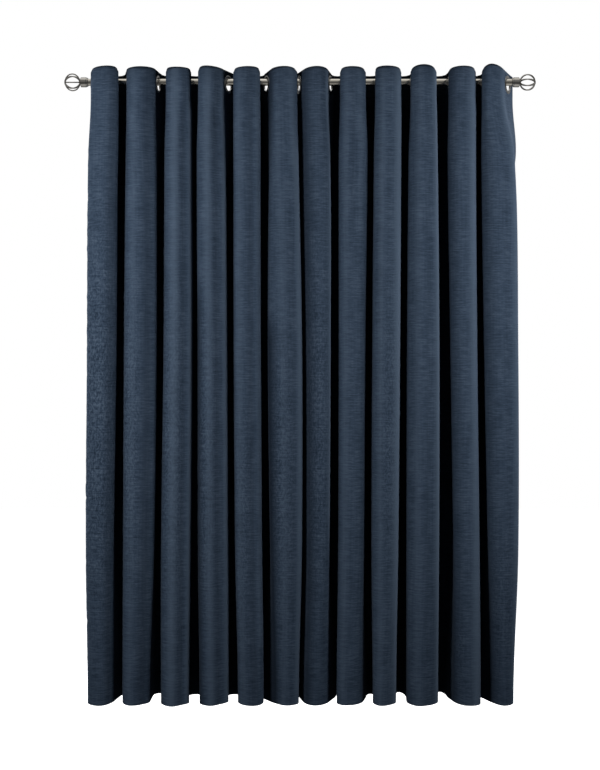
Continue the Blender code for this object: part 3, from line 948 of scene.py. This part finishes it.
# %% Crease and pucker tables
# A crease: the fold, its place across the face as seen from 0 to 1, then in millimetres its
# half width, depth to the back (a ridge is negative) and drift to the right on its way down,
# and the painted light or shade along it (a painted highlight above 0, painted shade below).
# Rows with no depth are bands of painted light or shade only. The last two are its top and
# foot in millimetres below the pole, where it doesn't run from edge to hem.
Crease = namedtuple("Crease", "fold across half depth drift nap top foot", defaults=(-200, 2450))
CREASES = [Crease(*row) for row in (
    (1, 0.82, 17, 2.5, 4, -0.35),
    (2, 0.00, 24, 0.0, 0, -0.75),
    (2, 0.27, 14, -3.0, 0, 0.22),
    (2, 0.74, 22, 4.0, 3, -0.46),
    (3, 0.00, 25, 0.0, 0, -0.95),
    (3, 0.38, 18, -5.0, 2, 0.42),
    (3, 0.74, 14, 4.0, 0, -0.36),
    (3, 0.99, 13, -4.0, 0, 1.00, -60),
    (4, 0.00, 29, 0.0, 0, -1.00),
    (4, 0.04, 22, 0.0, 0, -0.55, 700),
    (4, 0.40, 18, -5.0, 0, 0.35),
    (4, 0.70, 14, 4.0, 2, -0.26),
    (4, 0.99, 14, -3.0, 0, 0.95, -100),
    (5, 0.00, 20, 0.0, 0, -0.95),
    (5, 0.20, 14, -3.0, 0, 0.28),
    (5, 0.64, 16, 3.5, 2, -0.32),
    (5, 0.94, 16, -2.0, 0, 0.30),
    (6, 0.00, 28, 0.0, 0, -1.00),
    (6, 0.06, 28, 0.0, 0, -0.65, 800),
    (6, 0.23, 11, -2.5, 8, 0.22, -200, 480),
    (6, 0.78, 12, -2.5, 8, 0.25, -200, 420),
    (6, 0.40, 16, -3.5, 5, 0.22, 340),
    (6, 0.80, 15, 3.0, 2, -0.15, 420),
    (6, 0.96, 15, -2.0, 0, 0.75, 140),
    (7, 0.06, 31, 2.0, 4, -0.80),
    (7, 0.56, 13, -2.5, -6, 0.0, -200, 1600),
    (7, 0.99, 15, 0.0, 0, 0.90, -200, 1700),
    (8, 0.00, 22, 0.0, 0, -1.00),
    (8, 0.23, 12, -3.0, -3, 0.28),
    (8, 0.50, 11, 2.5, 0, -0.12, -200, 640),
    (8, 0.80, 13, -3.0, -4, 0.22, -200, 620),
    (8, 0.97, 20, 1.0, 0, -0.35, 200),
    (9, 0.00, 26, 0.0, 0, -1.00),
    (9, 0.26, 12, -3.0, 2, 0.30),
    (9, 0.90, 17, -4.0, 2, 0.80),
    (9, 0.98, 13, 0.0, 0, 0.70, 500),
    (10, 0.00, 28, 0.0, 0, -1.00),
    (10, 0.32, 17, -3.0, -4, 0.18),
    (10, 0.62, 14, 2.5, 0, -0.10),
    (10, 0.97, 17, -2.0, 0, 1.00),
    (11, 0.00, 30, 0.0, 0, -1.00),
    (11, 0.34, 17, -2.5, 2, 0.0),
    (11, 0.89, 17, -4.0, -2, 0.65),
    (12, 0.00, 33, 0.0, 0, -0.90),
    (12, 0.36, 18, -2.5, 4, -0.05, 60),
    (12, 0.66, 13, 2.5, 4, -0.12, 200),
    (12, 0.94, 18, -2.0, 0, 0.50),
)]
CREASE_ENDS = 160 * MM
CREASE_REACH = 3

# A zone of puckers: the fold, from and to across the face, top and foot in millimetres
# below the pole, how many puckers, and their depth
Zone = namedtuple("Zone", "fold left right top foot count depth")
ZONES = [Zone(*row) for row in (
    (1, 0.00, 0.68, 250, 2150, 360, 1.4),
    (1, 0.62, 1.00, 500, 2100, 60, 0.7),
    (2, 0.05, 0.42, 500, 2000, 150, 1.1),
    (3, 0.12, 0.60, 500, 2150, 140, 1.0),
    (4, 0.05, 0.50, 600, 2150, 90, 0.95),
    (5, 0.05, 0.45, 1000, 2200, 60, 0.8),
    (6, 0.10, 0.60, 700, 2200, 90, 0.9),
    (7, 0.05, 0.65, 300, 2150, 180, 0.95),
    (9, 0.35, 0.95, 600, 1900, 70, 0.8),
    (11, 0.05, 0.40, 1900, 2220, 24, 0.7),
    (12, 0.20, 0.80, 1500, 2220, 50, 0.5),
)]
PUCKER_HALF_HEIGHT = 8.5 * MM
PUCKER_HALF_WIDTH = 17 * MM
PUCKER_SLANT = 0.45
PUCKER_SIZES = (0.6, 1.3)
PUCKER_REACH = 4
CRUSH_MARGIN = 10 * MM
CRUSH_LENGTH = 1.2
CRUSH_LIMIT = 1.5
SEED = 11
print("creases:", len(CREASES), "puckers:", sum(zone.count for zone in ZONES))

# %% [markdown]
# Both tables become a push at each point of the grid, which bends the cloth for real. The
# creases also carry painted light and shade, and the puckers say how crushed the cloth is.
# Only the material reads these two.

# %% Creases and puckers on the grid


def crease_field(marks, heights, across, places):
    """How far the long creases push each grid point back, and the painted light and shade there."""
    push, nap = np.zeros_like(across), np.zeros_like(across)
    for crease in CREASES:
        column = (marks[:, 0] == crease.fold - 1) & (marks[:, 1] >= 0)
        if not column.any():
            continue
        face, seen = across[:, column], places[:, column]
        left, right = seen.min(axis=1), seen.max(axis=1)
        down = np.clip((-crease.top * MM - heights) / ((crease.foot - crease.top) * MM), 0, 1)
        wanted = left + (right - left) * crease.across + crease.drift * MM * down
        middle = np.array([np.interp(*row) for row in zip(wanted, seen, face)])[:, None]
        above = fade(-crease.top * MM - heights, CREASE_ENDS)
        below = fade(heights + crease.foot * MM, CREASE_ENDS)
        strength = ((1 - above) * (1 - below))[:, None]
        width = crease.half * MM
        near = CREASE_REACH * width
        inside = (across > face[:, :1] - near) & (across < face[:, -1:] + near)
        band = strength * np.exp(-((across - middle) / width) ** 2) * inside
        push += crease.depth * MM * band
        # Painted light or shade along the crease
        nap += crease.nap * band
    return push, nap


def pucker_field(marks, heights, across):
    """Short slanted ridges inside the zones, and how crushed the cloth is there."""
    push, crush = np.zeros_like(across), np.zeros_like(across)
    for zone in ZONES:
        column = (marks[:, 0] == zone.fold - 1) & (marks[:, 1] >= 0)
        if not column.any():
            continue
        draw = np.random.default_rng(SEED + zone.fold * 100 + zone.top)
        face = across[:, column]
        start, end = face.mean(axis=0)[0], face.mean(axis=0)[-1]
        left, right = start + (end - start) * zone.left, start + (end - start) * zone.right
        for _ in range(zone.count):
            place = draw.uniform(left, right)
            height = draw.uniform(-zone.foot * MM, -zone.top * MM)
            slant = draw.uniform(-PUCKER_SLANT, PUCKER_SLANT)
            half = PUCKER_HALF_WIDTH * draw.uniform(*PUCKER_SIZES)
            depth = zone.depth * MM * draw.uniform(-1.0, 1.0)
            rows = np.abs(heights - height) < PUCKER_REACH * PUCKER_HALF_HEIGHT
            near = across[rows] - place
            up = heights[rows][:, None] - height - slant * near
            push[rows] += depth * np.exp(-(near / half) ** 2 - (up / PUCKER_HALF_HEIGHT) ** 2)
        middle = (left + right) / 2
        spread = (right - left) / 2 + CRUSH_MARGIN
        wide = np.exp(-((across - middle) / spread) ** 4)
        half_height = (zone.foot - zone.top) / 2 * MM
        centre = -(zone.top + zone.foot) / 2 * MM
        tall = fade(np.abs(heights - centre), half_height * CRUSH_LENGTH)
        crush = np.maximum(crush, wide * tall[:, None] * zone.depth)
    return push, np.clip(crush, 0, CRUSH_LIMIT)


print("a crease fades out over", round(CREASE_ENDS / MM), "mm at its ends")

# %% [markdown]
# Each row of the grid is laid along the section at its height, then pushed in and out by the
# creases. The top edge is a turned, pressed hem: it rolls back a little, with a faint
# stitched line under it.

# %% Points of the hung cloth
ROW_COUNT = 262
TOP_ROWS = (39.6, 39.2, 38.2, 36.6, 34.4, 32.4, 31.2, 30.0, 27.0, 24.0, 19.0)
TOP_ROLL = (3.4, 2.1, 0.9, 0.2, 0.0, 0.0, 0.0, 0.0, 0.0, 0.0, 0.0)
STITCH_DEPTHS = (0.0, 0.0, 0.0, 0.0, 0.0, 0.3, 0.8, 0.3, 0.0, 0.0, 0.0)
TOP_LIFT_FADES = 60 * MM
HEM_LIFT_FADES = 150 * MM
SMOOTH_HEADING = 15 * MM
CREASES_START = 70 * MM


def row_heights():
    """Close rows at the pressed top edge, then even ones down to the hem."""
    top = np.array(TOP_ROWS) * MM
    rest = np.linspace(top[-1], HEM, ROW_COUNT - len(top) + 1)[1:]
    return np.concatenate((top, rest))


def cloth_points(folds):
    heights = row_heights()
    marks = column_marks(folds)
    flat = np.array([fitted_section(folds, height) for height in heights])
    steps = np.linalg.norm(np.diff(flat, axis=1), axis=2)
    across = np.concatenate((np.zeros((len(heights), 1)), np.cumsum(steps, axis=1)), axis=1)
    tangent = np.gradient(flat, axis=1)
    tangent /= np.linalg.norm(tangent, axis=2, keepdims=True)
    back = np.stack((-tangent[:, :, 1], tangent[:, :, 0]), axis=2)
    push, nap = crease_field(marks, heights, across, flat[:, :, 0])
    puckers, crush = pucker_field(marks, heights, across)
    below_rings = 1 - fade(HEADING_FOOT - SMOOTH_HEADING - heights, CREASES_START)
    push = (push + puckers) * below_rings[:, None]
    roll = np.zeros(len(heights))
    roll[:len(TOP_ROLL)] = (np.array(TOP_ROLL) + np.array(STITCH_DEPTHS)) * MM
    flat = flat + back * (push + roll[:, None])[:, :, None]
    lift = (marks[:, 2] * fade(HEADING_TOP - heights, TOP_LIFT_FADES)[:, None]
            + marks[:, 3] * fade(heights - HEM, HEM_LIFT_FADES)[:, None]) * MM
    up = heights[:, None] + lift
    return np.dstack((flat, up)), across, {"crush": crush, "nap": nap}


print("rows in a curtain:", len(row_heights()))

# %% [markdown]
# The sheet itself starts as a flat grid, as a cut length of cloth would, and is moved onto
# those points. Its map keeps the distance across and the height in metres, so the weave
# stays even. Then it gets its thickness, and a round hole is cut for every eyelet.

# %% Sheets of cloth
HOLE_RADIUS = 24.9 * MM
HOLE_SIDES = 48
PUNCH_LENGTH = 20 * MM
BORE_RADIUS = 22 * MM
RING_PLAY = 0.3 * MM
RING_HEIGHT = POLE_RADIUS + RING_PLAY - BORE_RADIUS


def sheet_from_grid(name, points, across, traits):
    """A primitive grid whose points are moved onto the hung cloth."""
    rows, columns = across.shape
    start_fresh()
    bpy.ops.mesh.primitive_grid_add(x_subdivisions=columns - 1, y_subdivisions=rows - 1, size=2)
    sheet = new_piece(name)
    mesh = sheet.data
    flat = np.empty(len(mesh.vertices) * 3)
    mesh.vertices.foreach_get("co", flat)
    flat = flat.reshape(-1, 3)
    column = np.rint((flat[:, 0] + 1) / 2 * (columns - 1)).astype(int)
    row = np.rint((1 - flat[:, 1]) / 2 * (rows - 1)).astype(int)
    mesh.vertices.foreach_set("co", points[row, column].ravel())
    corner = np.empty(len(mesh.loops), dtype=int)
    mesh.loops.foreach_get("vertex_index", corner)
    mesh.uv_layers[0].name = "cloth"
    spread = np.stack((across[row, column], row_heights()[row]), axis=1)
    mesh.uv_layers["cloth"].data.foreach_set("uv", spread[corner].ravel())
    for trait, values in traits.items():
        mesh.attributes.new(trait, "FLOAT", "POINT").data.foreach_set("value", values[row, column])
    mesh.update()
    return sheet


def eyelet_places(folds):
    """For each eyelet, its place on the pole and the angle its ring is turned to."""
    places = []
    for fold in folds:
        back_l, front_l, front_r, back_r = flank_ends(fold, HEADING_FOOT)
        for back, front in ((back_l, front_l), (back_r, front_r)):
            places.append(((back + front) / 2, math.atan2(front - back, 2 * FLANK_HALF_DEPTH)))
    return places


def punch_holes(sheet, folds):
    """Cut a round hole for every eyelet with one set of cutters."""
    cutters = []
    for place, turn in eyelet_places(folds):
        start_fresh()
        bpy.ops.mesh.primitive_cylinder_add(vertices=HOLE_SIDES, radius=HOLE_RADIUS, depth=PUNCH_LENGTH,
                                            location=(place, 0, RING_HEIGHT),
                                            rotation=(0, math.radians(90), turn))
        cutters.append(bpy.context.object)
    start_fresh()
    for cutter in cutters:
        cutter.select_set(True)
    bpy.context.view_layer.objects.active = cutters[0]
    bpy.ops.object.join()
    punch = bpy.context.object
    apply_modifier(sheet, "BOOLEAN", operation="DIFFERENCE", object=punch)
    bpy.data.objects.remove(punch, do_unlink=True)


def hang_cloth(side, folds):
    points, across, traits = cloth_points(folds)
    sheet = sheet_from_grid(f"cloth_{side}", points, across, traits)
    apply_modifier(sheet, "SOLIDIFY", thickness=CLOTH_THICKNESS, offset=0.0, use_even_offset=True)
    punch_holes(sheet, folds)
    settle(sheet, smooth_degrees=60)
    print(sheet.name, "triangles:", sum(len(face.vertices) - 2 for face in sheet.data.polygons))
    return sheet


sides = {"left": range(FOLDS_EACH), "right": range(FOLDS_EACH, 2 * FOLDS_EACH)}
cloths = {side: hang_cloth(side, folds) for side, folds in sides.items()}

# %% [markdown]
# An eyelet is two dished rings that snap together through the hole, with the cloth gripped
# in the groove between them. One is turned with its rolled inner lip, domed flange and
# thin rim, and then copied to all twenty-four places. The rings hang with the top of the
# bore just over the pole, each turned with its own flank.

# %% Eyelets
RING_SIDES = 64

# From the neck in the groove out to the flange's rim, over its dome and into the bore
bore = BORE_RADIUS / MM
outer_half = (
    (24.6, 1.3), (32.5, 1.3), (33, 1.55), (32.9, 1.95), (32.2, 2.25), (30.0, 2.55), (27.0, 2.85),
    (24.6, 3.0), (23.2, 2.95), (22.4, 2.55), (bore, 1.9), (bore, 0.0))
ring_profile = outer_half + tuple((radius, -height) for radius, height in reversed(outer_half[:-1]))
eyelet = turn_profile("eyelet", ring_profile, RING_SIDES, ring=True)
eyelets = {"left": [], "right": []}
misses = []
for side, folds in sides.items():
    for index, (place, turn) in enumerate(eyelet_places(folds), start=1):
        node = f"eyelet_{side}_{index:02d}"
        ring = copy_of(eyelet, f"ring_{side}_{index:02d}")
        stand = Matrix.Translation((place, 0, RING_HEIGHT)) @ Matrix.Rotation(turn, 4, "Z")
        settle(ring, stand @ Matrix.Rotation(math.radians(90), 4, "Y"), smooth_degrees=35)
        finish_piece(ring, silver, "eyelet_metal", node)
        eyelets[side].append(ring)
        low, high = (Vector(corner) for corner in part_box(node))
        misses.append(((low + high) / 2 - stand.translation).length / MM)
bpy.data.objects.remove(eyelet, do_unlink=True)
print("eyelets:", len(misses), "at most", round(max(misses), 2), "mm from their solids' centres")

# %% [markdown]
# Last, each cloth gets its material and its body, and stands in for its solid.

for side, cloth in cloths.items():
    finish_piece(cloth, navy, "curtain_cloth", f"curtain_{side}")
